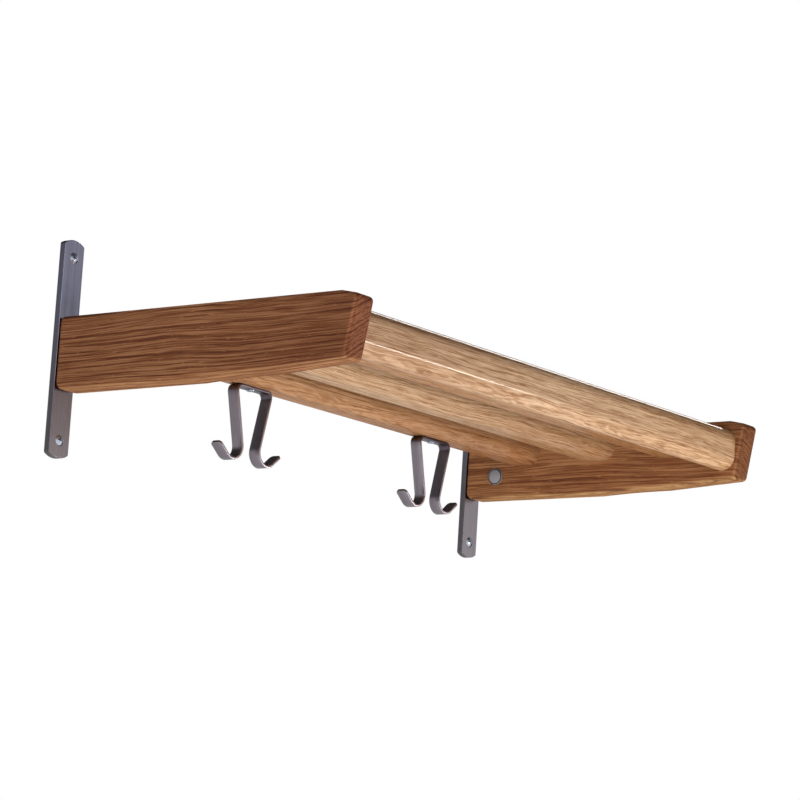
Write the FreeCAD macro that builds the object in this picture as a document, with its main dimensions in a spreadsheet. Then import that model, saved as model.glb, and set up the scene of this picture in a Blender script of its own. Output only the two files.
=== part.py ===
import FreeCAD, Part
import math
import os
import Sketcher
from types import SimpleNamespace

# Wall-hung hat shelf: two oak side brackets on flat steel wall plates, four
# round-edged oak rails doweled between them, and two bent strip hooks.
# +X runs along the wall, the wall plane is Y = 0 with the front towards -Y, and
# +Z is up. The origin is the middle of the four wall screws on the wall plane.
# All lengths are in millimetres and all angles in degrees.

sizeTable = [
    # wall plates
    ("plate_reach", 325.0),
    ("plate_width", 25.0),
    ("plate_thick", 6.0),
    ("plate_length", 195.6),
    ("plate_end_rise", 3.9),
    ("plate_corner", 2.0),
    ("plate_edge_round", 0.6),
    # wall screws, countersunk in the front of the plates
    ("wall_screw_inset", 16.1),
    ("wall_screw_shank", 5.0),
    ("wall_screw_head", 9.4),
    ("wall_screw_length", 50.0),
    ("wall_screw_sink", 0.5),
    # side brackets
    ("bracket_thick", 25.0),
    ("bracket_reach", 335.2),
    ("bracket_top", 26.7),
    ("bracket_bottom", 39.1),
    ("bracket_arris", 4.0),
    ("back_top_corner", 5.0),
    ("back_bottom_corner", 8.0),
    ("nose_bevel_length", 18.8),
    ("nose_bevel_drop", 3.9),
    ("nose_slant", 9.4),
    ("nose_rise", 8.2),
    ("nose_top_corner", 4.5),
    ("nose_bottom_corner", 5.0),
    ("sweep_setback", 124.1),
    ("sweep_radius", 1200.0),
    # rails, three lying flat and the front one standing on edge
    ("rail_width", 41.2),
    ("rail_thick", 27.0),
    ("flat_rail_height", 6.3),
    ("front_rail_drop", 2.3),
    ("back_rail_place", 75.7),
    ("front_rail_setback", 23.7),
    ("middle_rail_share", 0.379),
    ("third_rail_share", 0.739),
    # glued dowels, two in each rail end
    ("dowel_width", 8.0),
    ("dowel_length", 36.0),
    ("dowel_pitch", 16.0),
    ("dowel_in_bracket", 14.0),
    ("dowel_end_play", 1.0),
    ("dowel_chamfer", 0.8),
    # screws from the plates into the brackets
    ("bracket_screw_height", 12.0),
    ("bracket_screw_shank", 5.0),
    ("bracket_screw_head", 9.6),
    ("bracket_screw_length", 50.0),
    # cam fittings low in the brackets
    ("cam_drop", 17.3),
    ("cam_setback", 37.0),
    ("cam_width", 15.0),
    ("cam_depth", 16.5),
    ("cam_sink", 0.3),
    ("cam_slot_width", 2.2),
    ("cam_slot_depth", 1.4),
    ("cam_slot_length", 9.0),
    ("cam_bolt_width", 6.0),
    ("cam_bolt_head", 10.4),
    ("cam_bolt_neck", 3.4),
    ("cam_bolt_neck_length", 3.2),
    ("cam_bolt_knob", 6.0),
    ("cam_bolt_knob_length", 2.4),
    ("cam_mouth", 7.0),
    ("cap_width", 17.0),
    ("cap_thick", 1.5),
    ("cap_groove_width", 1.0),
    ("cap_groove_depth", 0.7),
    ("cap_face", 14.0),
    ("cap_stem", 3.0),
    ("cap_stem_length", 3.0),
    # strip hooks under the back rail
    ("hook_place", 140.3),
    ("hook_strip_width", 12.0),
    ("hook_strip_thick", 2.5),
    ("hook_flat_half", 18.4),
    ("hook_bend_radius", 5.4),
    ("hook_lean_angle", 13.4),
    ("hook_leg_length", 47.9),
    ("hook_curl_radius", 12.1),
    ("hook_curl_angle", 142.8),
    ("hook_tip_length", 15.1),
    ("hook_tip_round", 3.2),
    ("hook_screw_shank", 4.0),
    ("hook_screw_head", 7.6),
    ("hook_screw_head_thick", 1.5),
    ("hook_screw_head_round", 1.0),
    ("hook_screw_length", 22.0),
    # cross recesses, screw points and fits
    ("recess_length", 4.6),
    ("recess_width", 0.9),
    ("recess_depth", 1.5),
    ("screw_neck", 4.0),
    ("screw_point", 3.0),
    ("screw_tip_width", 1.0),
    ("hole_play", 0.2),
    ("drill_play", 1.0),
]

doc = FreeCAD.newDocument("HatShelf")
sheet = doc.addObject("Spreadsheet::Sheet", "sizes")
for row, (alias, number) in enumerate(sizeTable, start=1):
    sheet.set(f"A{row}", alias)
    sheet.set(f"B{row}", str(number))
    sheet.setAlias(f"B{row}", alias)
doc.recompute()


class Size:
    # A value from the sheet, or a sum of such values, with its expression
    def __init__(self, number, text):
        self.number = float(number)
        self.text = text

    def __add__(self, other):
        other = asSize(other)
        return Size(self.number + other.number, f"({self.text} + {other.text})")

    def __sub__(self, other):
        other = asSize(other)
        return Size(self.number - other.number, f"({self.text} - {other.text})")

    def __mul__(self, other):
        other = asSize(other)
        return Size(self.number * other.number, f"({self.text} * {other.text})")

    def __truediv__(self, other):
        other = asSize(other)
        return Size(self.number / other.number, f"({self.text} / {other.text})")

    def __neg__(self):
        return Size(-self.number, f"(0 - {self.text})")

    def __rmul__(self, other):
        return asSize(other) * self


def asSize(entry):
    if isinstance(entry, Size):
        return entry
    return Size(entry, f"{entry}")


def cosine(angle):
    return Size(math.cos(math.radians(angle.number)), f"cos({angle.text})")


def sine(angle):
    return Size(math.sin(math.radians(angle.number)), f"sin({angle.text})")


def root(area):
    return Size(math.sqrt(area.number), f"sqrt({area.text})")


size = SimpleNamespace(**{
    alias: Size(sheet.get(alias), f"sizes.{alias}") for alias, number in sizeTable})
nothing = Size(0, "0")
leftSide = -1
rightSide = 1
sideNames = {leftSide: "left", rightSide: "right"}

# Places that several pieces share
plateMiddle = size.plate_reach - size.plate_width / 2
innerFace = plateMiddle - size.bracket_thick / 2
railFlatUnderside = size.flat_rail_height - size.rail_thick / 2
camPlace = size.plate_thick + size.cam_setback
wallScrewHeight = size.plate_length / 2 - size.wall_screw_inset
frontRailPlace = size.bracket_reach - size.front_rail_setback
railSpread = frontRailPlace - size.back_rail_place
middleRailPlace = size.back_rail_place + size.middle_rail_share * railSpread
thirdRailPlace = size.back_rail_place + size.third_rail_share * railSpread
railTable = [
    ("back_rail", size.back_rail_place, size.flat_rail_height, False),
    ("middle_rail", middleRailPlace, size.flat_rail_height, False),
    ("third_rail", thirdRailPlace, size.flat_rail_height, False),
    ("front_rail", frontRailPlace, -size.front_rail_drop, True),
]

# Directions that a screw's head faces, as turns from local +Z
faceUp = FreeCAD.Rotation()
faceDown = FreeCAD.Rotation(FreeCAD.Vector(1, 0, 0), 180)
faceFront = FreeCAD.Rotation(FreeCAD.Vector(1, 0, 0), 90)
faceWall = FreeCAD.Rotation(FreeCAD.Vector(1, 0, 0), -90)
facePlusX = FreeCAD.Rotation(FreeCAD.Vector(0, 1, 0), 90)
faceMinusX = FreeCAD.Rotation(FreeCAD.Vector(0, 1, 0), -90)


def bind(item, field, amount):
    item.setExpression(field, asSize(amount).text)


def newBody(label, place, turn=faceUp):
    body = doc.addObject("PartDesign::Body", label)
    body.Label = label
    x, y, z = (asSize(entry) for entry in place)
    body.Placement = FreeCAD.Placement(FreeCAD.Vector(x.number, y.number, z.number), turn)
    bind(body, "Placement.Base.x", x)
    bind(body, "Placement.Base.y", y)
    bind(body, "Placement.Base.z", z)
    return body


def newSketch(body, name, plane, offset=nothing):
    sketch = body.newObject("Sketcher::SketchObject", f"{body.Name}_{name}")
    origin = [item for item in body.Origin.OriginFeatures if item.Role == plane][0]
    sketch.AttachmentSupport = [(origin, "")]
    sketch.MapMode = "FlatFace"
    sketch.AttachmentOffset = FreeCAD.Placement(
        FreeCAD.Vector(0, 0, offset.number), FreeCAD.Rotation())
    if offset.text != nothing.text:
        bind(sketch, "AttachmentOffset.Base.z", offset)
    return sketch


def fixAlong(sketch, edge, end, kind, amount):
    # Ties one end or the centre of a sketch edge to the sketch's origin
    amount = asSize(amount)
    index = sketch.addConstraint(Sketcher.Constraint(kind, -1, 1, edge, end, amount.number))
    bind(sketch, f"Constraints[{index}]", amount)


def fixPoint(sketch, edge, end, point):
    fixAlong(sketch, edge, end, "DistanceX", point[0])
    fixAlong(sketch, edge, end, "DistanceY", point[1])


def drawOutline(sketch, steps):
    # Each step is a corner and how the outline goes on from it: None for a
    # straight edge, or (centre, radius, turn), turn being 1 when it bends left
    corners = [tuple(asSize(entry) for entry in step[0]) for step in steps]
    flat = [FreeCAD.Vector(x.number, y.number, 0) for x, y in corners]
    up = FreeCAD.Vector(0, 0, 1)
    ends = []
    for index, (corner, bend) in enumerate(steps):
        start = flat[index]
        finish = flat[(index + 1) % len(flat)]
        if bend is None:
            edge = sketch.addGeometry(Part.LineSegment(start, finish))
            ends.append((edge, 1, 2))
            continue
        centre, radius, turn = bend
        middle = FreeCAD.Vector(asSize(centre[0]).number, asSize(centre[1]).number, 0)
        angles = [math.atan2(point.y - middle.y, point.x - middle.x) for point in (start, finish)]
        if turn < 0:
            angles.reverse()
        arc = Part.ArcOfCircle(Part.Circle(middle, up, radius.number), angles[0], angles[1])
        edge = sketch.addGeometry(arc)
        chord = finish - start
        steep = abs(chord.y) > abs(chord.x)
        fixAlong(sketch, edge, 3, "DistanceX" if steep else "DistanceY", centre[0 if steep else 1])
        ends.append((edge, 1, 2) if turn > 0 else (edge, 2, 1))
    for index, (edge, first, last) in enumerate(ends):
        following = ends[(index + 1) % len(ends)]
        fixPoint(sketch, edge, first, corners[index])
        sketch.addConstraint(
            Sketcher.Constraint("Coincident", edge, last, following[0], following[1]))


def drawCircles(sketch, circles):
    up = FreeCAD.Vector(0, 0, 1)
    for x, y, width in circles:
        x, y = asSize(x), asSize(y)
        middle = FreeCAD.Vector(x.number, y.number, 0)
        edge = sketch.addGeometry(Part.Circle(middle, up, width.number / 2))
        index = sketch.addConstraint(Sketcher.Constraint("Radius", edge, width.number / 2))
        bind(sketch, f"Constraints[{index}]", width / 2)
        fixPoint(sketch, edge, 3, (x, y))


def pad(body, sketch, length, middle=False):
    feature = body.newObject("PartDesign::Pad", f"{sketch.Name}_pad")
    feature.Profile = sketch
    feature.Length = length.number
    bind(feature, "Length", length)
    feature.Midplane = middle
    doc.recompute()
    return feature


def cut(body, sketch, depth, forward):
    # forward cuts along the sketch's normal, otherwise against it
    before = body.Shape.Volume
    feature = body.newObject("PartDesign::Pocket", f"{sketch.Name}_cut")
    feature.Profile = sketch
    feature.Length = depth.number
    bind(feature, "Length", depth)
    feature.Reversed = forward
    doc.recompute()
    if body.Shape.Volume >= before:
        raise RuntimeError(f"{sketch.Name} cuts nothing")
    return feature


def turned(body, steps):
    # Turns a half outline, drawn as (distance from the axis, height), about Z
    sketch = newSketch(body, "half", "XZ_Plane")
    drawOutline(sketch, steps)
    feature = body.newObject("PartDesign::Revolution", f"{sketch.Name}_turned")
    feature.Profile = sketch
    feature.ReferenceAxis = (sketch, ["V_Axis"])
    feature.Angle = 360
    doc.recompute()
    return feature


def edgesWhere(shape, wanted):
    return [f"Edge{number}" for number, edge in enumerate(shape.Edges, start=1) if wanted(edge)]


def dress(body, kind, field, amount, wanted, name):
    # Rounds or chamfers the edges that a test picks out
    base = body.Tip
    names = edgesWhere(base.Shape, wanted)
    if not names:
        raise RuntimeError(f"{body.Label} has no edge for {name}")
    feature = body.newObject(f"PartDesign::{kind}", f"{body.Name}_{name}")
    feature.Base = (base, names)
    setattr(feature, field, amount.number)
    bind(feature, field, amount)
    doc.recompute()
    return feature


closeness = 1e-4


def near(first, second):
    return abs(first - second) < closeness


def runsAlong(edge, axis):
    # True for a straight edge parallel to an axis
    if not isinstance(edge.Curve, Part.Line):
        return False
    return near(abs(edge.Curve.Direction.dot(axis)), 1)


alongX = FreeCAD.Vector(1, 0, 0)
alongY = FreeCAD.Vector(0, 1, 0)


def makePlate(side):
    # Flat steel bar with segment-arc ends, countersunk in front for the wall
    # screws and behind for the two fixings that hold the bracket
    label = f"{sideNames[side]}_wall_plate"
    body = newBody(label, (side * plateMiddle, nothing, nothing))
    halfWidth = size.plate_width / 2
    shoulder = size.plate_length / 2 - size.plate_end_rise
    endRadius = (halfWidth * halfWidth / size.plate_end_rise + size.plate_end_rise) / 2
    endCentre = size.plate_length / 2 - endRadius
    outline = newSketch(body, "outline", "XZ_Plane")
    drawOutline(outline, [
        ((halfWidth, -shoulder), None),
        ((halfWidth, shoulder), ((nothing, endCentre), endRadius, 1)),
        ((-halfWidth, shoulder), None),
        ((-halfWidth, -shoulder), ((nothing, -endCentre), endRadius, 1)),
    ])
    pad(body, outline, size.plate_thick)
    front = -size.plate_thick.number
    dress(body, "Fillet", "Radius", size.plate_corner,
          lambda edge: runsAlong(edge, alongY), "corners")
    dress(body, "Fillet", "Radius", size.plate_edge_round,
          lambda edge: near(edge.BoundBox.YMin, front) and near(edge.BoundBox.YMax, front),
          "edge_round")
    wallHole = size.wall_screw_shank + size.hole_play
    wallHoles = newSketch(body, "wall_holes", "XZ_Plane")
    drawCircles(wallHoles, [
        (nothing, wallScrewHeight, wallHole),
        (nothing, -wallScrewHeight, wallHole)])
    cut(body, wallHoles, size.plate_thick, True)
    frontSink = size.wall_screw_head / 2 + size.wall_screw_sink - wallHole / 2 + size.hole_play / 2
    dress(body, "Chamfer", "Size", frontSink,
          lambda edge: isRim(edge, wallHole, front), "front_sinks")
    screwHole = size.bracket_screw_shank + size.hole_play
    boltHole = size.cam_bolt_width + size.hole_play
    rearHoles = newSketch(body, "rear_holes", "XZ_Plane")
    drawCircles(rearHoles, [
        (nothing, size.bracket_screw_height, screwHole),
        (nothing, -size.cam_drop, boltHole)])
    cut(body, rearHoles, size.plate_thick, True)
    dress(body, "Chamfer", "Size", size.bracket_screw_head / 2 - screwHole / 2 + size.hole_play / 2,
          lambda edge: isRim(edge, screwHole, 0) and edge.CenterOfMass.z > 0, "screw_sink")
    dress(body, "Chamfer", "Size", size.cam_bolt_head / 2 - boltHole / 2 + size.hole_play / 2,
          lambda edge: isRim(edge, boltHole, 0) and edge.CenterOfMass.z < 0, "bolt_sink")


def isRim(edge, width, level):
    # True for the whole circle of a hole of that width at that depth
    if not isinstance(edge.Curve, Part.Circle):
        return False
    return near(edge.Curve.Radius, width.number / 2) and near(edge.CenterOfMass.y, level)


def dowelPoints(place, height, upright):
    # Middles of the two dowels of a rail, as (Y, Z)
    half = size.dowel_pitch / 2
    if upright:
        return [(-place, height + half), (-place, height - half)]
    return [(-place + half, height), (-place - half, height)]


def makeBracket(side):
    # Oak side piece: straight back, bevelled and slanted nose, and an underside
    # that sweeps up gently towards the nose
    label = f"{sideNames[side]}_bracket"
    body = newBody(label, (side * plateMiddle, nothing, nothing))
    noseFoot = size.bracket_reach - size.nose_slant
    noseHeight = size.bracket_bottom - size.nose_rise
    sweepPlace = noseFoot - size.sweep_setback
    run = size.sweep_setback
    slope = root(run * run + size.nose_rise * size.nose_rise)
    tangent = size.sweep_radius * (slope - run) / size.nose_rise
    outline = newSketch(body, "outline", "YZ_Plane")
    drawOutline(outline, [
        ((-size.plate_thick, size.bracket_top), None),
        ((-(size.bracket_reach - size.nose_bevel_length), size.bracket_top), None),
        ((-size.bracket_reach, size.bracket_top - size.nose_bevel_drop), None),
        ((-noseFoot, -noseHeight), None),
        ((-(sweepPlace + tangent * run / slope),
          -size.bracket_bottom + tangent * size.nose_rise / slope),
         ((-(sweepPlace - tangent), -size.bracket_bottom - size.sweep_radius),
          size.sweep_radius, -1)),
        ((-(sweepPlace - tangent), -size.bracket_bottom), None),
        ((-size.plate_thick, -size.bracket_bottom), None),
    ])
    pad(body, outline, size.bracket_thick, True)
    roundCorner(body, size.back_top_corner, size.plate_thick, size.bracket_top, "back_top")
    roundCorner(body, size.back_bottom_corner, size.plate_thick, -size.bracket_bottom, "back_bottom")
    roundCorner(body, size.nose_top_corner, size.bracket_reach,
                size.bracket_top - size.nose_bevel_drop, "nose_top")
    roundCorner(body, size.nose_bottom_corner, noseFoot, -noseHeight, "nose_bottom")
    half = size.bracket_thick.number / 2
    dress(body, "Fillet", "Radius", size.bracket_arris,
          lambda edge: near(edge.BoundBox.XMin, edge.BoundBox.XMax) and
          near(abs(edge.BoundBox.XMin), half), "arris")
    drillBracket(body, side)


def roundCorner(body, radius, place, height, name):
    # Rounds the cross edge of a bracket at that distance from the wall
    def wanted(edge):
        middle = edge.CenterOfMass
        return (runsAlong(edge, alongX) and near(middle.y, -place.number)
                and near(middle.z, height.number))
    dress(body, "Fillet", "Radius", radius, wanted, name)


def drillBracket(body, side):
    innerFaceOffset = -side * size.bracket_thick / 2
    intoBracket = side > 0
    dowelHole = size.dowel_width + size.hole_play
    dowels = newSketch(body, "dowel_holes", "YZ_Plane", innerFaceOffset)
    drawCircles(dowels, [
        (y, z, dowelHole)
        for name, place, height, upright in railTable
        for y, z in dowelPoints(place, height, upright)])
    cut(body, dowels, size.dowel_in_bracket + size.dowel_end_play, intoBracket)
    camHole = newSketch(body, "cam_hole", "YZ_Plane", innerFaceOffset)
    drawCircles(camHole, [(-camPlace, -size.cam_drop, size.cam_width + size.hole_play)])
    cut(body, camHole, size.cam_sink + size.cam_depth + size.hole_play, intoBracket)
    screwHole = newSketch(body, "screw_hole", "XZ_Plane", size.plate_thick)
    drawCircles(screwHole, [
        (nothing, size.bracket_screw_height, size.bracket_screw_shank + size.hole_play)])
    cut(body, screwHole, size.bracket_screw_length - size.plate_thick + size.drill_play, True)
    boltHole = newSketch(body, "bolt_hole", "XZ_Plane", size.plate_thick)
    drawCircles(boltHole, [(nothing, -size.cam_drop, size.cam_mouth)])
    cut(body, boltHole, size.cam_setback, True)


def makeRail(name, place, height, upright):
    # Oak rail with fully rounded long edges, butted between the brackets
    body = newBody(name, (nothing, -place, height))
    radius = size.rail_thick / 2
    flat = (size.rail_width - size.rail_thick) / 2
    section = newSketch(body, "section", "YZ_Plane")
    if upright:
        drawOutline(section, [
            ((radius, -flat), None),
            ((radius, flat), ((nothing, flat), radius, 1)),
            ((-radius, flat), None),
            ((-radius, -flat), ((nothing, -flat), radius, 1))])
    else:
        drawOutline(section, [
            ((flat, radius), None),
            ((-flat, radius), ((-flat, nothing), radius, 1)),
            ((-flat, -radius), None),
            ((flat, -radius), ((flat, nothing), radius, 1))])
    pad(body, section, 2 * innerFace, True)
    dowelHole = size.dowel_width + size.hole_play
    depth = size.dowel_length - size.dowel_in_bracket + size.dowel_end_play
    for side in (leftSide, rightSide):
        ends = newSketch(body, f"{sideNames[side]}_dowel_holes", "YZ_Plane", side * innerFace)
        drawCircles(ends, [(y + place, z - height, dowelHole)
                           for y, z in dowelPoints(place, height, upright)])
        cut(body, ends, depth, side < 0)
    return body


def drillHookHoles(rail):
    # Pilot holes for the hook screws, from the flat underside of the back rail
    pilots = newSketch(rail, "hook_pilots", "XY_Plane", -size.rail_thick / 2)
    width = size.hook_screw_shank + size.hole_play
    drawCircles(pilots, [(side * size.hook_place, nothing, width) for side in sideNames])
    cut(rail, pilots, size.hook_screw_length - size.hook_strip_thick + size.drill_play, True)


def makeDowels(railName, place, height, upright, side):
    # Two glued dowels between one bracket and one rail end
    start = innerFace - size.dowel_length + size.dowel_in_bracket
    middle = side * (start + size.dowel_length / 2)
    label = f"{railName}_{sideNames[side]}_dowels"
    body = newBody(label, (middle, -place, height))
    sketch = newSketch(body, "rounds", "YZ_Plane")
    drawCircles(sketch, [(y + place, z - height, size.dowel_width)
                         for y, z in dowelPoints(place, height, upright)])
    pad(body, sketch, size.dowel_length, True)
    dress(body, "Chamfer", "Size", size.dowel_chamfer,
          lambda edge: isinstance(edge.Curve, Part.Circle), "chamfer")


def crossRecess(body, level):
    # Cross recess cut down from a screw head's face
    long, wide = size.recess_length / 2, size.recess_width / 2
    for name, across, along in (("slot_x", long, wide), ("slot_y", wide, long)):
        slot = newSketch(body, name, "XY_Plane", level)
        drawOutline(slot, [
            ((across, -along), None),
            ((across, along), None),
            ((-across, along), None),
            ((-across, -along), None)])
        cut(body, slot, size.recess_depth, False)


def makeSunkScrew(label, place, turn, head, thread, length, neckEnd):
    # Countersunk screw: head face at local Z = 0, then a plain neck down to
    # neckEnd and the thread beyond it, towards -Z
    body = newBody(label, place, turn)
    neck = size.screw_neck / 2
    turned(body, [
        ((nothing, nothing), None),
        ((nothing, -length), None),
        ((size.screw_tip_width / 2, -length), None),
        ((thread / 2, -length + size.screw_point), None),
        ((thread / 2, -neckEnd), None),
        ((neck, -neckEnd), None),
        ((neck, neck - head / 2), None),
        ((head / 2, nothing), None),
    ])
    crossRecess(body, nothing)


def makeHookScrew(side):
    # Low round-headed screw up through the hook into the back rail
    label = f"{sideNames[side]}_hook_screw"
    place = (side * size.hook_place, -size.back_rail_place,
             railFlatUnderside - size.hook_strip_thick - size.hook_screw_head_thick)
    body = newBody(label, place, faceDown)
    shank, head = size.hook_screw_shank / 2, size.hook_screw_head / 2
    seat, bow = size.hook_screw_head_thick, size.hook_screw_head_round
    end = size.hook_screw_length + seat
    turned(body, [
        ((nothing, nothing), None),
        ((nothing, -end), None),
        ((size.screw_tip_width / 2, -end), None),
        ((shank, -end + size.screw_point), None),
        ((shank, -seat), None),
        ((head, -seat), None),
        ((head, -bow), ((head - bow, -bow), bow, 1)),
        ((head - bow, nothing), None),
    ])
    crossRecess(body, nothing)


def makeHook(side):
    # Double hook bent from one strip: a flat top, two legs that lean inwards
    # and two curls that turn outwards and up
    label = f"{sideNames[side]}_hook"
    body = newBody(label, (side * size.hook_place, -size.back_rail_place, railFlatUnderside))
    half = size.hook_strip_thick / 2
    leanX, leanZ = cosine(size.hook_lean_angle), sine(size.hook_lean_angle)
    lift = size.hook_curl_angle - size.hook_lean_angle
    liftX, liftZ = cosine(lift), sine(lift)
    bend, curl = size.hook_bend_radius, size.hook_curl_radius
    bendX, bendZ = size.hook_flat_half, -half - bend
    footX = bendX + bend * leanX - size.hook_leg_length * leanZ
    footZ = bendZ - bend * leanZ - size.hook_leg_length * leanX
    curlX = footX + curl * leanX
    curlZ = footZ - curl * leanZ

    def chain(edgeSide, hand):
        # Corners of one side of the strip from the top to a tip: edgeSide is 1
        # on the outside of the bend, hand is the side of the hook
        offset = edgeSide * half
        outer = bend + offset
        inner = curl - offset
        tipX = curlX - inner * liftX + size.hook_tip_length * liftZ
        tipZ = curlZ - inner * liftZ - size.hook_tip_length * liftX
        return {
            "top": (hand * bendX, bendZ + outer),
            "bendEnd": (hand * (bendX + outer * leanX), bendZ - outer * leanZ),
            "bendCentre": (hand * bendX, bendZ),
            "curlStart": (hand * (curlX - inner * leanX), curlZ + inner * leanZ),
            "curlEnd": (hand * (curlX - inner * liftX), curlZ - inner * liftZ),
            "curlCentre": (hand * curlX, curlZ),
            "tip": (hand * tipX, tipZ),
            "bendRadius": outer,
            "curlRadius": inner,
        }

    rightOut, rightIn = chain(1, 1), chain(-1, 1)
    leftOut, leftIn = chain(1, -1), chain(-1, -1)
    profile = newSketch(body, "profile", "XZ_Plane")
    drawOutline(profile, [
        (leftOut["top"], None),
        (rightOut["top"], (rightOut["bendCentre"], rightOut["bendRadius"], -1)),
        (rightOut["bendEnd"], None),
        (rightOut["curlStart"], (rightOut["curlCentre"], rightOut["curlRadius"], 1)),
        (rightOut["curlEnd"], None),
        (rightOut["tip"], None),
        (rightIn["tip"], None),
        (rightIn["curlEnd"], (rightIn["curlCentre"], rightIn["curlRadius"], -1)),
        (rightIn["curlStart"], None),
        (rightIn["bendEnd"], (rightIn["bendCentre"], rightIn["bendRadius"], 1)),
        (rightIn["top"], None),
        (leftIn["top"], (leftIn["bendCentre"], leftIn["bendRadius"], 1)),
        (leftIn["bendEnd"], None),
        (leftIn["curlStart"], (leftIn["curlCentre"], leftIn["curlRadius"], -1)),
        (leftIn["curlEnd"], None),
        (leftIn["tip"], None),
        (leftOut["tip"], None),
        (leftOut["curlEnd"], (leftOut["curlCentre"], leftOut["curlRadius"], 1)),
        (leftOut["curlStart"], None),
        (leftOut["bendEnd"], (leftOut["bendCentre"], leftOut["bendRadius"], -1)),
    ])
    pad(body, profile, size.hook_strip_width, True)
    tips = [FreeCAD.Vector(point[0].number, 0, point[1].number)
            for point in (rightOut["tip"], rightIn["tip"], leftOut["tip"], leftIn["tip"])]

    def atTip(edge):
        # The short edges across the strip's thickness at its two ends
        points = [FreeCAD.Vector(vertex.X, 0, vertex.Z) for vertex in edge.Vertexes]
        if len(points) != 2 or not near(points[0].distanceToPoint(points[1]), 2 * half.number):
            return False
        return all(any(point.distanceToPoint(tip) < closeness for tip in tips) for point in points)

    dress(body, "Fillet", "Radius", size.hook_tip_round, atTip, "tip_round")
    hole = newSketch(body, "screw_hole", "XY_Plane")
    drawCircles(hole, [(nothing, nothing, size.hook_screw_shank + size.hole_play)])
    cut(body, hole, size.hook_strip_thick, False)


def makeCamBolt(side):
    # Flat-headed bolt from behind the plate; its neck and knob reach the cam
    label = f"{sideNames[side]}_cam_bolt"
    body = newBody(label, (side * plateMiddle, nothing, -size.cam_drop), faceWall)
    shank, head = size.cam_bolt_width / 2, size.cam_bolt_head / 2
    end = camPlace + size.cam_bolt_knob_length / 2
    knobStart = end - size.cam_bolt_knob_length
    neckStart = knobStart - size.cam_bolt_neck_length
    turned(body, [
        ((nothing, nothing), None),
        ((nothing, -end), None),
        ((size.cam_bolt_knob / 2, -end), None),
        ((size.cam_bolt_knob / 2, -knobStart), None),
        ((size.cam_bolt_neck / 2, -knobStart), None),
        ((size.cam_bolt_neck / 2, -neckStart), None),
        ((shank, -neckStart), None),
        ((shank, -(head - shank)), None),
        ((head, nothing), None),
    ])
    crossRecess(body, nothing)


def makeCam(side):
    # Round cam housing let into the bracket's inner face, with its driving slot
    # outwards, a socket for the cap and a mouth towards the wall for the bolt
    label = f"{sideNames[side]}_cam"
    faceX = side * (innerFace + size.cam_sink)
    body = newBody(label, (faceX, -camPlace, -size.cam_drop))
    rim = newSketch(body, "rim", "YZ_Plane", side * size.cam_depth / 2)
    drawCircles(rim, [(nothing, nothing, size.cam_width)])
    pad(body, rim, size.cam_depth, True)
    socket = newSketch(body, "socket", "YZ_Plane")
    drawCircles(socket, [(nothing, nothing, size.cap_stem + size.hole_play)])
    cut(body, socket, size.cap_stem_length, side > 0)
    slot = newSketch(body, "slot", "YZ_Plane")
    long, wide = size.cam_slot_length / 2, size.cam_slot_width / 2
    drawOutline(slot, [
        ((long, -wide), None),
        ((long, wide), None),
        ((-long, wide), None),
        ((-long, -wide), None)])
    cut(body, slot, size.cam_slot_depth, side > 0)
    mouth = newSketch(body, "mouth", "XZ_Plane", -size.cam_width)
    middle = side * (size.bracket_thick / 2 - size.cam_sink)
    drawCircles(mouth, [(middle, nothing, size.cam_mouth)])
    cut(body, mouth, size.cam_width + size.cam_bolt_knob_length, True)


def makeCamCap(side):
    # Plain cover cap on the bracket's inner face, with a ring groove
    label = f"{sideNames[side]}_cam_cap"
    turn = faceMinusX if side > 0 else facePlusX
    body = newBody(label, (side * innerFace, -camPlace, -size.cam_drop), turn)
    outer, stem = size.cap_width / 2, size.cap_stem / 2
    face, top = size.cap_face / 2, size.cap_thick
    floor = top - size.cap_groove_depth
    rim = face + size.cap_groove_width
    turned(body, [
        ((nothing, -size.cap_stem_length), None),
        ((stem, -size.cap_stem_length), None),
        ((stem, nothing), None),
        ((outer, nothing), None),
        ((outer, floor), None),
        ((rim, top), None),
        ((rim, floor), None),
        ((face, floor), None),
        ((face, top), None),
        ((nothing, top), None),
    ])


for side in sideNames:
    name = sideNames[side]
    makePlate(side)
    makeBracket(side)
    for level, sign in (("upper", 1), ("lower", -1)):
        makeSunkScrew(
            f"{name}_{level}_wall_screw",
            (side * plateMiddle, -(size.plate_thick - size.wall_screw_sink),
             sign * wallScrewHeight),
            faceFront, size.wall_screw_head, size.wall_screw_shank, size.wall_screw_length,
            size.plate_thick - size.wall_screw_sink)
    makeSunkScrew(
        f"{name}_bracket_screw",
        (side * plateMiddle, nothing, size.bracket_screw_height),
        faceWall, size.bracket_screw_head, size.bracket_screw_shank, size.bracket_screw_length,
        size.plate_thick)
    makeCamBolt(side)
    makeCam(side)
    makeCamCap(side)
    makeHook(side)
    makeHookScrew(side)

for railName, place, height, upright in railTable:
    rail = makeRail(railName, place, height, upright)
    if railName == "back_rail":
        drillHookHoles(rail)
    for side in sideNames:
        makeDowels(railName, place, height, upright, side)

doc.recompute()
for item in doc.Objects:
    if "Invalid" in item.State or "Error" in item.State:
        raise RuntimeError(f"{item.Label} did not build: {item.State}")
pieces = [item for item in doc.Objects if item.isDerivedFrom("PartDesign::Body")]
for piece in pieces:
    if piece.Shape.isNull() or not piece.Shape.isValid():
        raise RuntimeError(f"{piece.Label} has no valid shape")
os.makedirs("parts", exist_ok=True)
for piece in pieces:
    piece.Shape.exportStep(f"parts/{piece.Label}.step")
    print(piece.Label, len(piece.Shape.Solids), round(piece.Shape.Volume))
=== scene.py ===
import math

import bmesh
import bpy
from mathutils import Matrix, Vector


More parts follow.
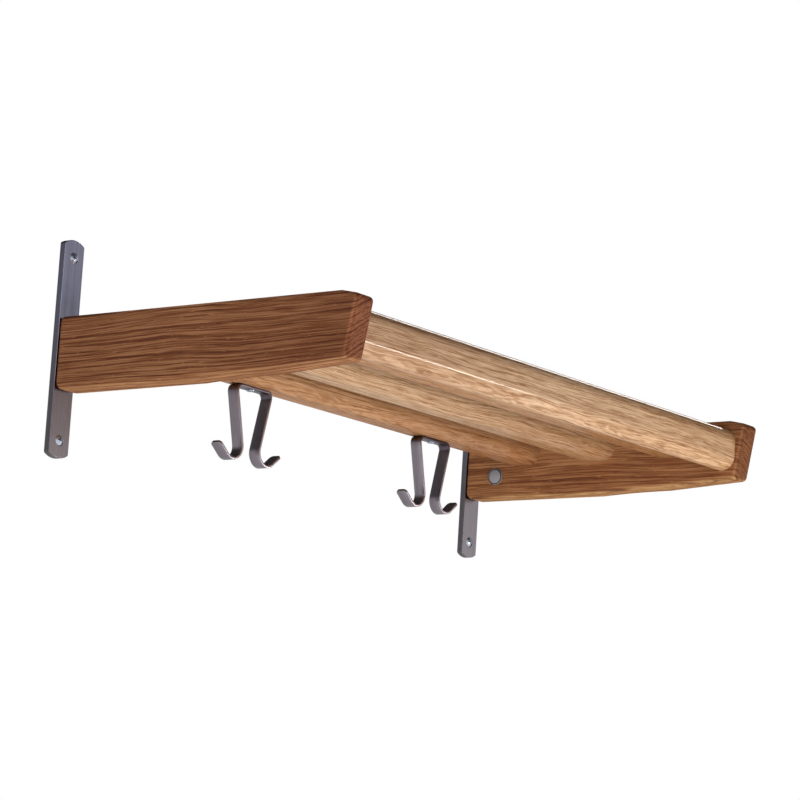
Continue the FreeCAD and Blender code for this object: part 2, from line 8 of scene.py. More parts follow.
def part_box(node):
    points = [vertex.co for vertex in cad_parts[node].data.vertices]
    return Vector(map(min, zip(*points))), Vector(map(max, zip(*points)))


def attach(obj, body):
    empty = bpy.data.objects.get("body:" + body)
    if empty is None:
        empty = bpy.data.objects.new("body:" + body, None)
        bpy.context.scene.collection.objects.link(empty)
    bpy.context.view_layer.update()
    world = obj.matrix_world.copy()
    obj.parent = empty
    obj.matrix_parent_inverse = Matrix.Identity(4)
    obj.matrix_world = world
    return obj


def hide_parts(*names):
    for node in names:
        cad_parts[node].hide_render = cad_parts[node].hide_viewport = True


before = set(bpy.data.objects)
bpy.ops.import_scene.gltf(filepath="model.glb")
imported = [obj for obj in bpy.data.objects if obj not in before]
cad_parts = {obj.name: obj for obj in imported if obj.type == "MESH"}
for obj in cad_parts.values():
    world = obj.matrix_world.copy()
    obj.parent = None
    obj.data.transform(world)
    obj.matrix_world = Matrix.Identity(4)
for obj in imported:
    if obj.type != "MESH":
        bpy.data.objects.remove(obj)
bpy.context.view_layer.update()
print("frame loaded:", len(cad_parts), "nodes")

bpy.context.scene.view_settings.view_transform = "Standard"
mm = 0.001
quarter = math.pi / 2
plainWhite = (1, 1, 1)


# camera, where the photograph was taken from

cameraSettings = {
    "place": (-2.35780, -1.91513, -0.52599),
    "forward": (0.78647755, 0.59190296, 0.1763631),
    "up": (-0.177655, -0.05667804, 0.98245931),
    "sensor": 36.0,
    "focalPixels": 3215.37,
    "imagePixels": 800,
    "near": 0.05,
    "far": 60,
}


def turnToward(forward, up):
    side = forward.cross(up).normalized()
    return Matrix((side, side.cross(forward), -forward)).transposed().to_4x4()


def addCamera(settings):
    data = bpy.data.cameras.new("camera")
    data.sensor_width = settings["sensor"]
    data.lens = settings["focalPixels"] / settings["imagePixels"] * settings["sensor"]
    data.clip_start = settings["near"]
    data.clip_end = settings["far"]
    camera = bpy.data.objects.new("camera", data)
    bpy.context.scene.collection.objects.link(camera)
    forward = Vector(settings["forward"]).normalized()
    turn = turnToward(forward, Vector(settings["up"]))
    camera.matrix_world = Matrix.Translation(settings["place"]) @ turn
    bpy.context.scene.camera = camera


addCamera(cameraSettings)
print("camera placed")


# node helpers

def addNode(tree, kind, inputs=None, **fields):
    node = tree.nodes.new(kind)
    for field, entry in fields.items():
        setattr(node, field, entry)
    fillSockets(tree, node, inputs or {})
    return node


def fillSockets(tree, node, entries):
    for socket, entry in entries.items():
        if isinstance(entry, bpy.types.NodeSocket):
            tree.links.new(entry, node.inputs[socket])
        else:
            node.inputs[socket].default_value = entry


def compute(tree, operation, first, second=0.0):
    return addNode(tree, "ShaderNodeMath", {0: first, 1: second}, operation=operation).outputs[0]


def total(tree, *parts):
    result = parts[0]
    for part in parts[1:]:
        result = compute(tree, "ADD", result, part)
    return result


def centred(tree, source, amount):
    return compute(tree, "MULTIPLY", compute(tree, "SUBTRACT", source, 0.5), amount)


def spread(tree, source, fromLow, fromHigh, toLow, toHigh):
    return addNode(tree, "ShaderNodeMapRange", {
        "Value": source, "From Min": fromLow, "From Max": fromHigh,
        "To Min": toLow, "To Max": toHigh}, interpolation_type="SMOOTHSTEP").outputs[0]


def stretched(tree, place, stretch, detail=2.0, rough=0.5, shift=(0, 0, 0)):
    placed = addNode(tree, "ShaderNodeMapping", {
        "Vector": place, "Scale": stretch, "Location": shift})
    return addNode(tree, "ShaderNodeTexNoise", {
        "Vector": placed.outputs[0], "Scale": 1.0, "Detail": detail,
        "Roughness": rough}).outputs["Fac"]


def ramp(tree, source, stops):
    node = addNode(tree, "ShaderNodeValToRGB", {"Fac": source})
    elements = node.color_ramp.elements
    while len(elements) < len(stops):
        elements.new(0.5)
    for element, (position, color) in zip(elements, stops):
        element.position = position
        element.color = (*color, 1)
    return node.outputs["Color"]


def mixColors(tree, share, first, second, blend="MIX"):
    node = addNode(tree, "ShaderNodeMix", data_type="RGBA", blend_type=blend)
    colors = [entry if isinstance(entry, bpy.types.NodeSocket) else (*entry, 1)
              for entry in (first, second)]
    fillSockets(tree, node, {0: share, 6: colors[0], 7: colors[1]})
    return node.outputs[2]


def tint(tree, color, factor):
    return mixColors(tree, 1.0, color, factor, "MULTIPLY")


def newMaterial(name):
    material = bpy.data.materials.new(name)
    material.use_nodes = True
    tree = material.node_tree
    return material, tree, tree.nodes["Principled BSDF"]


# studio: white surroundings, dimmer overhead and behind the wall, and a pale floor

studioSettings = {
    "softLevel": 0.72,  # strength of the surroundings on matt surfaces
    "wallLevel": 0.55,  # what is left behind the wall on matt surfaces
    "wallGloss": 0.5,  # and in reflections
    "wallStart": 0.1,
    "wallEnd": 0.5,
    "ceilingLevel": 0.08,
    "ceilingStart": 0.05,
    "ceilingEnd": 0.5,
    "wallSize": 6.0,
    "wallBehind": 0.4 * mm,
}


def buildWorld(settings):
    world = bpy.data.worlds.new("studio")
    bpy.context.scene.world = world
    world.use_nodes = True
    tree = world.node_tree
    background = tree.nodes["Background"]
    direction = addNode(tree, "ShaderNodeTexCoord").outputs["Generated"]
    heading = addNode(tree, "ShaderNodeSeparateXYZ", {0: direction}).outputs
    rays = addNode(tree, "ShaderNodeLightPath").outputs
    above = spread(tree, heading["Z"], settings["ceilingStart"], settings["ceilingEnd"],
                   1.0, settings["ceilingLevel"])
    behind = spread(tree, heading["Y"], settings["wallStart"], settings["wallEnd"], 0.0, 1.0)
    loss = spread(tree, rays["Is Glossy Ray"], 0.0, 1.0,
                  1 - settings["wallLevel"], 1 - settings["wallGloss"])
    kept = compute(tree, "SUBTRACT", 1.0, compute(tree, "MULTIPLY", behind, loss))
    level = spread(tree, rays["Is Glossy Ray"], 0.0, 1.0, settings["softLevel"], 1.0)
    soft = compute(tree, "MULTIPLY", compute(tree, "MULTIPLY", above, kept), level)
    seen = compute(tree, "MAXIMUM", rays["Is Camera Ray"], rays["Is Transmission Ray"])
    background.inputs["Color"].default_value = (*plainWhite, 1)
    tree.links.new(spread(tree, seen, 0.0, 1.0, soft, 1.0), background.inputs["Strength"])


buildWorld(studioSettings)


# lamps: those that are softOnly show in no reflection, those that are glossOnly only there

lampAim = (0, -0.15, 0)
lampSettings = {
    "frontLamp": {
        "place": (2.6, -2.68, -0.31), "size": (0.7, 0.3),
        "power": 20, "color": (1.0, 0.94, 0.87)},
    "lowLeftLamp": {
        "place": (-2.5, -1.5, -1.15), "size": (1.6, 1.6),
        "power": 5, "color": (1.0, 0.98, 0.95)},
    "underLamp": {
        "place": (-0.1, -0.75, -1.3), "size": (2.4, 2.4),
        "power": 61, "color": (1.0, 0.99, 0.975), "softOnly": True},
    "rimLamp": {
        "place": (2.8, 0.69, 1.84), "size": (0.45, 0.9), "up": (0, 0.475, 0.88),
        "power": 16, "color": (1.0, 0.97, 0.95), "glossOnly": True},
    "topLamp": {
        "place": (0.5, 2.6, 2.6), "size": (2.0, 2.0),
        "power": 110, "color": (1.0, 0.99, 0.98), "softOnly": True},
    "edgeLamp": {
        "place": (-2.9, -2.7, 0.7), "size": (0.6, 1.6),
        "power": 24, "color": plainWhite, "glossOnly": True},
}


def addLamp(name, settings):
    data = bpy.data.lights.new(name, "AREA")
    data.shape = "RECTANGLE"
    data.size, data.size_y = settings["size"]
    data.energy = settings["power"]
    data.color = settings["color"]
    lamp = bpy.data.objects.new(name, data)
    bpy.context.scene.collection.objects.link(lamp)
    lamp.visible_camera = False
    lamp.visible_diffuse = not settings.get("glossOnly", False)
    lamp.visible_glossy = not settings.get("softOnly", False)
    place = Vector(settings["place"])
    aim = (Vector(lampAim) - place).normalized()
    turn = turnToward(aim, Vector(settings.get("up", (0, 0, 1))))
    lamp.matrix_world = Matrix.Translation(place) @ turn


for lampName, settings in lampSettings.items():
    addLamp(lampName, settings)


floorSettings = {
    "height": -1.35,
    "size": 14.0,
    "color": (0.80, 0.77, 0.73),
    "cloudColor": (0.7, 0.68, 0.65),
    "cloudScale": (30, 30, 30),
    "cloudDetail": 4.0,
    "cloudRange": (0.3, 0.7),
    "cloudShare": 0.05,
    "rough": 0.9,
    "shine": 0.1,
    "glow": 0.6,  # for the camera only
    "glowColor": (0.97, 0.96, 0.94),
}


def buildFloor(settings):
    bpy.ops.object.select_all(action="DESELECT")
    bpy.ops.mesh.primitive_plane_add(size=settings["size"], location=(0, 0, settings["height"]))
    floor = bpy.context.object
    floor.name = "floor"
    material, tree, shader = newMaterial("floorPaper")
    place = addNode(tree, "ShaderNodeTexCoord").outputs["Object"]
    clouds = stretched(tree, place, settings["cloudScale"], settings["cloudDetail"])
    share = spread(tree, clouds, *settings["cloudRange"], 0.0, settings["cloudShare"])
    seen = addNode(tree, "ShaderNodeLightPath").outputs["Is Camera Ray"]
    fillSockets(tree, shader, {
        "Base Color": mixColors(tree, share, settings["color"], settings["cloudColor"]),
        "Roughness": settings["rough"], "Specular IOR Level": settings["shine"],
        "Emission Color": (*settings["glowColor"], 1),
        "Emission Strength": compute(tree, "MULTIPLY", seen, settings["glow"])})
    below = addNode(tree, "ShaderNodeNewGeometry").outputs["Backfacing"]  # clear from below
    clear = addNode(tree, "ShaderNodeBsdfTransparent")
    mixed = addNode(tree, "ShaderNodeMixShader", {
        0: below, 1: shader.outputs[0], 2: clear.outputs[0]})
    tree.links.new(mixed.outputs[0], tree.nodes["Material Output"].inputs["Surface"])
    floor.data.materials.append(material)
    floor.visible_glossy = False


def buildWall(settings):
    bpy.ops.object.select_all(action="DESELECT")
    bpy.ops.mesh.primitive_plane_add(
        size=settings["wallSize"], location=(0, settings["wallBehind"], 0),
        rotation=(quarter, 0, 0))
    wall = bpy.context.object
    wall.name = "wall"
    material = bpy.data.materials.new("wallPaint")
    material.use_nodes = True
    tree = material.node_tree
    tree.nodes.clear()
    rays = addNode(tree, "ShaderNodeLightPath").outputs
    behind = addNode(tree, "ShaderNodeNewGeometry").outputs["Backfacing"]
    front = compute(tree, "SUBTRACT", 1.0, behind)
    seen = compute(tree, "MULTIPLY", rays["Is Camera Ray"], front)
    white = addNode(tree, "ShaderNodeEmission", {"Color": (*plainWhite, 1), "Strength": 1.0})
    clear = addNode(tree, "ShaderNodeBsdfTransparent")
    mixed = addNode(tree, "ShaderNodeMixShader", {
        0: seen, 1: clear.outputs[0], 2: white.outputs[0]})
    output = addNode(tree, "ShaderNodeOutputMaterial")
    tree.links.new(mixed.outputs[0], output.inputs["Surface"])
    wall.data.materials.append(material)


buildFloor(floorSettings)
buildWall(studioSettings)
print("studio built")


# oak: growth rings round a pith outside the board, streaks, threads, pores and flecks

oakSettings = {
    "lean": 0.012,  # radians between the pith and the board
    "wander": 16 * mm,
    "unevenYears": 3.0,
    "turnScale": 0.1,  # metres of pattern for a radian round the pith
    "poreBase": 0.3,  # pores outside the dark lines
    "poreShade": 0.3,
    "colorStops": (0.1, 0.55, 1.0),
    "fleckGain": 1.2,
    "halfBoard": 300 * mm,
    # heights of the normal over which the painted light on down-facing faces fades in
    "paintedUnderLightRange": (-0.85, -0.1),
    "endRange": (0.5, 0.9),
    "endGrain": (0.55, 0.49, 0.49),
    "poreDent": -1.0,
    "lineDent": -0.3,
    "dentDepth": 0.14 * mm,
    "dentStrength": 0.5,
    "smoother": 0.05,
    "rougher": 0.14,
}

# repeats in a metre along, across and round the rings, and the part of the noise that shows
grainPatterns = {
    "wander": {"repeats": (4, 13, 13), "detail": 2.0, "shift": (0, 0)},
    "ripple": {"repeats": (26, 80, 80), "detail": 2.0, "shift": (3, 0)},
    "uneven": {"repeats": (1.5, 110, 3), "detail": 1.0, "shift": (0, 0)},
    "broad": {"repeats": (4, 30, 30), "detail": 2.0, "shift": (11, 4)},
    "fade": {"repeats": (7, 90, 20), "detail": 2.0, "shift": (7, 1),
             "range": (0.32, 0.62), "level": (0.35, 1.0)},
    "streaks": {"repeats": (1, 900, 70), "detail": 3.0, "rough": 0.6, "shift": (2, 9),
                "range": (0.3, 0.72)},
    "threads": {"repeats": (4, 1450, 300), "detail": 1.0, "rough": 0.6, "shift": (4, 2),
                "range": (0.38, 0.64)},
    "pores": {"repeats": (85, 1500, 700), "detail": 1.0, "shift": (0, 5),
              "range": (0.54, 0.68)},
    "flecks": {"repeats": (120, 260, 900), "detail": 1.0, "shift": (1, 3),
               "range": (0.66, 0.76), "level": (0.0, 0.35)},
}

railTone = {
    "light": (0.72, 0.485, 0.30),
    "middle": (0.52, 0.31, 0.165),
    "dark": (0.31, 0.145, 0.062),
    "below": plainWhite,
    "ringPitch": 5.2 * mm,
    "ripple": 3.0 * mm,
    "reach": 9,
    "sharp": 3.0,
    "lines": 0.2,
    "streaks": 0.36,
    "fibres": 0.5,
    "broad": 0.25,
    "rough": 0.4,
    "coat": 0.35,
    "coatRough": 0.09,
}
bracketTone = {
    "light": (0.32, 0.148, 0.062),
    "middle": (0.18, 0.069, 0.0265),
    "dark": (0.1, 0.034, 0.017),
    # below: painted light, a paler and cooler tint on faces that look down, as if lit from below
    "below": (0.91, 1.09, 1.10),
    "ringPitch": 3.7 * mm,
    "ripple": 1.6 * mm,
    "reach": 5,
    "sharp": 8.0,
    "lines": 0.55,
    "streaks": 0.34,
    "fibres": 0.46,
    "broad": 0.4,
    "rough": 0.4,
    "coat": 0.04,
    "coatRough": 0.3,
}
calmTone = dict(bracketTone, lines=0.36, ringPitch=4.8 * mm, broad=0.6)
beechTone = dict(
    railTone, light=(0.80, 0.58, 0.37), middle=(0.66, 0.44, 0.26), dark=(0.45, 0.26, 0.14),
    rough=0.6, coat=0.0)

# the shade is the whole board's tone, with painted light and shade in it; the ends are painted
# shade towards its low and high end along its length
boards = {
    "left_bracket": {
        "along": "Y", "pith": (0.07, 0.13), "seed": 3.1, "tone": bracketTone,
        "shade": (1.82, 1.8, 2.07), "ends": ((0.72, 0.66, 0.68), plainWhite)},
    "right_bracket": {
        "along": "Y", "pith": (-0.06, 0.15), "seed": 8.7, "tone": calmTone,
        "shade": (1.77, 1.84, 1.96), "ends": ((0.76, 0.74, 0.76), plainWhite)},
    "back_rail": {
        "along": "X", "pith": (0.05, 0.06), "seed": 5.3, "tone": railTone,
        "shade": (0.64, 0.52, 0.42), "ends": (plainWhite, (0.82, 0.74, 0.70))},
    "middle_rail": {
        "along": "X", "pith": (0.08, -0.07), "seed": 12.4, "tone": railTone,
        "shade": (0.82, 0.82, 0.83), "ends": (plainWhite, (0.78, 0.67, 0.57))},
    "third_rail": {
        "along": "X", "pith": (0.07, 0.08), "seed": 17.9, "tone": railTone,
        "shade": (0.66, 0.55, 0.45), "ends": (plainWhite, (0.84, 0.78, 0.74))},
    "front_rail": {
        "along": "X", "pith": (0.05, 0.09), "seed": 21.6, "tone": railTone,
        "shade": (0.88, 0.90, 0.94), "ends": ((0.80, 0.74, 0.72), (0.94, 0.87, 0.78))},
}
dowelRod = {
    "along": "X", "pith": (0.1, 0.1), "seed": 1.7, "tone": beechTone,
    "shade": plainWhite, "ends": (plainWhite, plainWhite)}


def readGrain(tree, place, seed, name, reach=1):
    pattern = grainPatterns[name]
    along, across, around = pattern["repeats"]
    noise = stretched(tree, place, (along * reach, across, around), pattern["detail"],
                      pattern.get("rough", 0.5), (seed, *pattern["shift"]))
    if "range" in pattern:
        noise = spread(tree, noise, *pattern["range"], *pattern.get("level", (0.0, 1.0)))
    return noise


def growRings(tree, sawn, board, settings):
    parts = addNode(tree, "ShaderNodeSeparateXYZ", {0: sawn}).outputs
    across = compute(tree, "MULTIPLY", parts["Y"], parts["Y"])
    upward = compute(tree, "MULTIPLY", parts["Z"], parts["Z"])
    wander = readGrain(tree, sawn, board["seed"], "wander")
    ripple = readGrain(tree, sawn, board["seed"], "ripple")
    radius = total(
        tree, compute(tree, "SQRT", compute(tree, "ADD", across, upward)),
        centred(tree, wander, settings["wander"]),
        centred(tree, ripple, board["tone"]["ripple"]))
    turned = compute(tree, "ARCTAN2", parts["Y"], parts["Z"])
    angle = compute(tree, "MULTIPLY", turned, settings["turnScale"])
    grown = addNode(tree, "ShaderNodeCombineXYZ", {0: parts["X"], 1: radius, 2: angle})
    return radius, grown.outputs[0]


def colorOak(tree, depth, grown, centre, board, settings):
    tone = board["tone"]
    tones = (tone["light"], tone["middle"], tone["dark"])
    color = ramp(tree, depth, tuple(zip(settings["colorStops"], tones)))
    pale = tuple(min(1.0, part * settings["fleckGain"]) for part in tone["light"])
    color = mixColors(tree, readGrain(tree, grown, board["seed"], "flecks"), color, pale)
    color = tint(tree, color, board["shade"])
    # painted shade: the colour darkens towards the board's ends as its ends give, where they lie
    # in shade
    length = addNode(tree, "ShaderNodeSeparateXYZ", {0: centre}).outputs[board["along"]]
    way = spread(tree, length, -settings["halfBoard"], settings["halfBoard"], 0.0, 1.0)
    paintedLowEndShade, paintedHighEndShade = board["ends"]
    color = tint(tree, color, ramp(tree, way, ((0.0, paintedLowEndShade), (0.5, plainWhite), (1.0, paintedHighEndShade))))
    # painted light: faces that look down take the tone's below tint, paler and cooler on the
    # brackets as if lit from below
    normal = addNode(tree, "ShaderNodeNewGeometry").outputs["Normal"]
    facing = addNode(tree, "ShaderNodeSeparateXYZ", {0: normal}).outputs
    paintedUnderLight = spread(tree, facing["Z"], *settings["paintedUnderLightRange"], 1.0, 0.0)
    color = tint(tree, color, mixColors(tree, paintedUnderLight, plainWhite, tone["below"]))
    endward = compute(tree, "ABSOLUTE", facing[board["along"]])
    ended = spread(tree, endward, *settings["endRange"], 0.0, 1.0)
    return tint(tree, color, mixColors(tree, ended, plainWhite, settings["endGrain"]))


def makeOak(name, board, middle, settings):
    material, tree, shader = newMaterial(name)
    tone, seed, lean = board["tone"], board["seed"], settings["lean"]
    place = addNode(tree, "ShaderNodeTexCoord").outputs["Object"]
    centre = addNode(tree, "ShaderNodeMapping", {
        "Vector": place, "Location": tuple(-part for part in middle)}).outputs[0]
    turn = -quarter if board["along"] == "Y" else 0.0
    sawn = addNode(tree, "ShaderNodeMapping", {
        "Vector": centre, "Rotation": (0, lean, turn + lean),
        "Location": (seed, *board["pith"])}).outputs[0]
    radius, grown = growRings(tree, sawn, board, settings)
    uneven = readGrain(tree, grown, seed, "uneven")
    years = total(tree, compute(tree, "DIVIDE", radius, tone["ringPitch"]),
                  centred(tree, uneven, settings["unevenYears"]))
    season = compute(tree, "COSINE", compute(tree, "MULTIPLY", years, 2 * math.pi))
    early = compute(tree, "POWER", spread(tree, season, -1.0, 1.0, 0.0, 1.0), tone["sharp"])
    line = compute(tree, "MULTIPLY", early, readGrain(tree, grown, seed, "fade"))
    streak = readGrain(tree, grown, seed, "streaks", tone["reach"])
    thread = readGrain(tree, grown, seed, "threads", tone["reach"])
    pore = compute(tree, "MULTIPLY", readGrain(tree, grown, seed, "pores"),
                   total(tree, line, settings["poreBase"]))
    broad = readGrain(tree, sawn, seed, "broad")
    depth = total(
        tree, compute(tree, "MULTIPLY", line, tone["lines"]),
        compute(tree, "MULTIPLY", streak, tone["streaks"]),
        compute(tree, "MULTIPLY", thread, tone["fibres"]),
        compute(tree, "MULTIPLY", pore, settings["poreShade"]),
        centred(tree, broad, tone["broad"]))
    dent = total(tree, compute(tree, "MULTIPLY", pore, settings["poreDent"]),
                 compute(tree, "MULTIPLY", line, settings["lineDent"]))
    bump = addNode(tree, "ShaderNodeBump", {
        "Height": dent, "Strength": settings["dentStrength"], "Distance": settings["dentDepth"]})
    fillSockets(tree, shader, {
        "Base Color": colorOak(tree, depth, grown, centre, board, settings),
        "Roughness": spread(tree, depth, 0.0, 1.0, tone["rough"] - settings["smoother"],
                            tone["rough"] + settings["rougher"]),
        "Normal": bump.outputs[0], "Specular IOR Level": 0.0,
        "Coat Weight": tone["coat"], "Coat Roughness": tone["coatRough"]})
    return material


def boxMiddle(name):
    low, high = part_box(name)
    return (low + high) / 2


def coverNode(name, material):
    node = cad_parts[name]
    node.data.materials.clear()
    node.data.materials.append(material)


for boardName, board in boards.items():
    coverNode(boardName, makeOak(f"{boardName}_oak", board, boxMiddle(boardName), oakSettings))
print("oak boards covered")


# brushed steel of the plates and hooks, bright and cast zinc of the fittings

# the upper tint is painted light by height: a painted reflection makes the plates lighter and
# bluer towards the top, and painted shade darkens the hooks' top bends under the rail
steelSettings = {
    "plate": {"color": (0.22, 0.2, 0.22), "dark": (0.147, 0.132, 0.152), "rough": 0.34,
              "streaks": (1400, 1400, 9), "upper": (1.15, 1.27, 1.55),
              "paintedLightHeights": (-50 * mm, 60 * mm)},
    "hook": {"color": (0.43, 0.385, 0.43), "dark": (0.29, 0.255, 0.29), "rough": 0.32,
             "streaks": (12, 1500, 12), "upper": (0.34, 0.29, 0.31),
             "paintedLightHeights": (-20 * mm, -9 * mm)},
}
brushSettings = {
    "detail": 3.0,
    "fineness": 0.6,
    "streakRange": (0.3, 0.7),
    "streakShare": 0.6,
    "cloudScale": (60, 60, 60),
    "cloudShare": 0.5,
    "smoother": 0.07,
    "rougher": 0.1,
    "dentStrength": 0.25,
    "dentDepth": 0.05 * mm,
    "coat": 0.2,
    "coatRough": 0.2,
}
zincSettings = {
    "bright": {"color": (0.52, 0.57, 0.67), "rough": 0.2, "grain": 700},
    "cast": {"color": (0.45, 0.45, 0.47), "rough": 0.45, "grain": 1500},
}
spotSettings = {
    "detail": 3.0,
    "fineness": 0.6,
    "range": (0.3, 0.7),
    "darker": 0.8,
    "rougher": 0.12,
    "dentStrength": 0.2,
    "dentDepth": 0.04 * mm,
}


def makeSteel(name, steel, settings):
    material, tree, shader = newMaterial(name)
    place = addNode(tree, "ShaderNodeTexCoord").outputs["Object"]
    streaks = stretched(tree, place, steel["streaks"], settings["detail"], settings["fineness"])
    clouds = stretched(tree, place, settings["cloudScale"], settings["detail"])
    streak = spread(tree, streaks, *settings["streakRange"], 0.0, 1.0)
    shade = compute(tree, "ADD", compute(tree, "MULTIPLY", streak, settings["streakShare"]),
                    compute(tree, "MULTIPLY", clouds, settings["cloudShare"]))
    # painted light and shade: the upper tint fades in with height
    height = addNode(tree, "ShaderNodeSeparateXYZ", {0: place}).outputs["Z"]
    rise = spread(tree, height, *steel["paintedLightHeights"], 0.0, 1.0)
    color = tint(tree, mixColors(tree, shade, steel["color"], steel["dark"]),
                 mixColors(tree, rise, plainWhite, steel["upper"]))
    bump = addNode(tree, "ShaderNodeBump", {
        "Height": streaks, "Strength": settings["dentStrength"],
        "Distance": settings["dentDepth"]})
    fillSockets(tree, shader, {
        "Base Color": color, "Metallic": 1.0,
        "Roughness": spread(tree, shade, 0.0, 1.0, steel["rough"] - settings["smoother"],
                            steel["rough"] + settings["rougher"]),
        "Normal": bump.outputs[0], "Coat Weight": settings["coat"],
        "Coat Roughness": settings["coatRough"]})
    return material


def makeZinc(name, zinc, settings):
    material, tree, shader = newMaterial(name)
    place = addNode(tree, "ShaderNodeTexCoord").outputs["Object"]
    spots = stretched(tree, place, (zinc["grain"],) * 3, settings["detail"], settings["fineness"])
    shade = spread(tree, spots, *settings["range"], 0.0, 1.0)
    dark = tuple(part * settings["darker"] for part in zinc["color"])
    gloss = spread(tree, spots, *settings["range"], zinc["rough"],
                   zinc["rough"] + settings["rougher"])
    bump = addNode(tree, "ShaderNodeBump", {
        "Height": spots, "Strength": settings["dentStrength"], "Distance": settings["dentDepth"]})
    fillSockets(tree, shader, {
        "Base Color": mixColors(tree, shade, zinc["color"], dark), "Metallic": 1.0,
        "Roughness": gloss, "Normal": bump.outputs[0]})
    return material


plateSteel = makeSteel("brushedPlate", steelSettings["plate"], brushSettings)
hookSteel = makeSteel("brushedStrip", steelSettings["hook"], brushSettings)
brightZinc = makeZinc("brightZinc", zincSettings["bright"], spotSettings)
castZinc = makeZinc("castZinc", zincSettings["cast"], spotSettings)
beech = makeOak("rawBeech", dowelRod, (0, 0, 0), oakSettings)

sides = {"left": -1, "right": 1}
for side in sides:
    coverNode(f"{side}_wall_plate", plateSteel)
    coverNode(f"{side}_cam", castZinc)
    coverNode(f"{side}_cam_bolt", brightZinc)
    for rail in ("back_rail", "middle_rail", "third_rail", "front_rail"):
        coverNode(f"{rail}_{side}_dowels", beech)
print("plates, cams and dowels covered")


# modelling helpers

nearly = 0.01 * mm
mergeDistance = 0.001 * mm
facesAxis = 0.99  # least share of a normal along the axis that its face looks to
smoothAngle = math.radians(35)


def selectOnly(*pieces):
    bpy.ops.object.select_all(action="DESELECT")
    for piece in pieces:
        piece.select_set(True)
    bpy.context.view_layer.objects.active = pieces[-1]


def startPiece(addPrimitive, name, **fields):
    bpy.ops.object.select_all(action="DESELECT")
    addPrimitive(**fields)
    piece = bpy.context.object
    piece.name = name
    bpy.ops.object.transform_apply(location=True, rotation=True, scale=True)
    return piece


def editAll():
    bpy.ops.object.mode_set(mode="EDIT")
    bpy.ops.mesh.select_all(action="SELECT")


def pickFaces(piece, wanted):
    bpy.ops.mesh.select_all(action="DESELECT")
    shape = bmesh.from_edit_mesh(piece.data)
    for face in shape.faces:
        if wanted(face.calc_center_median(), face.normal):
            face.select_set(True)
    bmesh.update_edit_mesh(piece.data)


def pickEdges(piece, wanted):
    bpy.ops.mesh.select_all(action="DESELECT")
    shape = bmesh.from_edit_mesh(piece.data)
    for edge in shape.edges:
        ends = [corner.co for corner in edge.verts]
        if wanted((ends[0] + ends[1]) / 2, edge):
            edge.select_set(True)
    bmesh.update_edit_mesh(piece.data)


def pull(offset, factor=None):
    bpy.ops.mesh.extrude_region_move(TRANSFORM_OT_translate={"value": offset})
    if factor:
        bpy.ops.transform.resize(value=factor)


def applyModifier(piece, kind, **fields):
    selectOnly(piece)
    modifier = piece.modifiers.new(kind, kind)
    for field, entry in fields.items():
        setattr(modifier, field, entry)
    bpy.ops.object.modifier_apply(modifier=modifier.name)


def carve(piece, cutter):
    applyModifier(piece, "BOOLEAN", operation="DIFFERENCE", object=cutter, solver="EXACT")
    bpy.data.objects.remove(cutter)


def tidyMesh(piece):
    selectOnly(piece)
    editAll()
    bpy.ops.mesh.remove_doubles(threshold=mergeDistance)
    bpy.ops.mesh.normals_make_consistent(inside=False)
    bpy.ops.object.mode_set(mode="OBJECT")
    bpy.ops.object.shade_smooth_by_angle(angle=smoothAngle)


def putCopy(model, name, place, turn, material, node):
    piece = model.copy()
    piece.data = model.data.copy()
    piece.name = name
    bpy.context.scene.collection.objects.link(piece)
    piece.location = place
    piece.rotation_euler = turn
    selectOnly(piece)
    bpy.ops.object.transform_apply(location=True, rotation=True, scale=True)
    piece.data.materials.clear()
    piece.data.materials.append(material)
    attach(piece, "root")
    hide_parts(node)


# double hooks: one strip, bent at the top and curled at both feet

hookSettings = {
    "width": 12 * mm,
    "thick": 2.5 * mm,
    "arris": 0.5 * mm,
    "arrisSteps": 2,
    "flatHalf": 18.4 * mm,
    "bendRadius": 5.4 * mm,
    "bendSteps": 14,
    "lean": 13.4,
    "leg": 47.9 * mm,
    "curlRadius": 12.1 * mm,
    "curl": 142.8,
    "curlSteps": 28,
    "tip": 15.1 * mm,
    "tipRound": 3.2 * mm,
    "tipSteps": 6,
    "hole": 4.2 * mm,
    "holeSides": 40,
    "place": 140.3 * mm,
    "wallDistance": 75.7 * mm,
    "top": -7.2 * mm,
}


def spinFace(angle, centre, steps):
    bpy.ops.mesh.spin(steps=steps, angle=math.radians(angle), center=centre, axis=(0, -1, 0))


def roundTip(upward, settings):
    rounding, steps = settings["tipRound"], settings["tipSteps"]
    half, along = settings["width"] / 2, 0.0
    for step in range(1, steps + 1):
        turned = math.radians(90 * step / steps)
        nextAlong = rounding * math.sin(turned)
        nextHalf = settings["width"] / 2 - rounding * (1 - math.cos(turned))
        pull(upward * (nextAlong - along), (1, nextHalf / half, 1))
        half, along = nextHalf, nextAlong


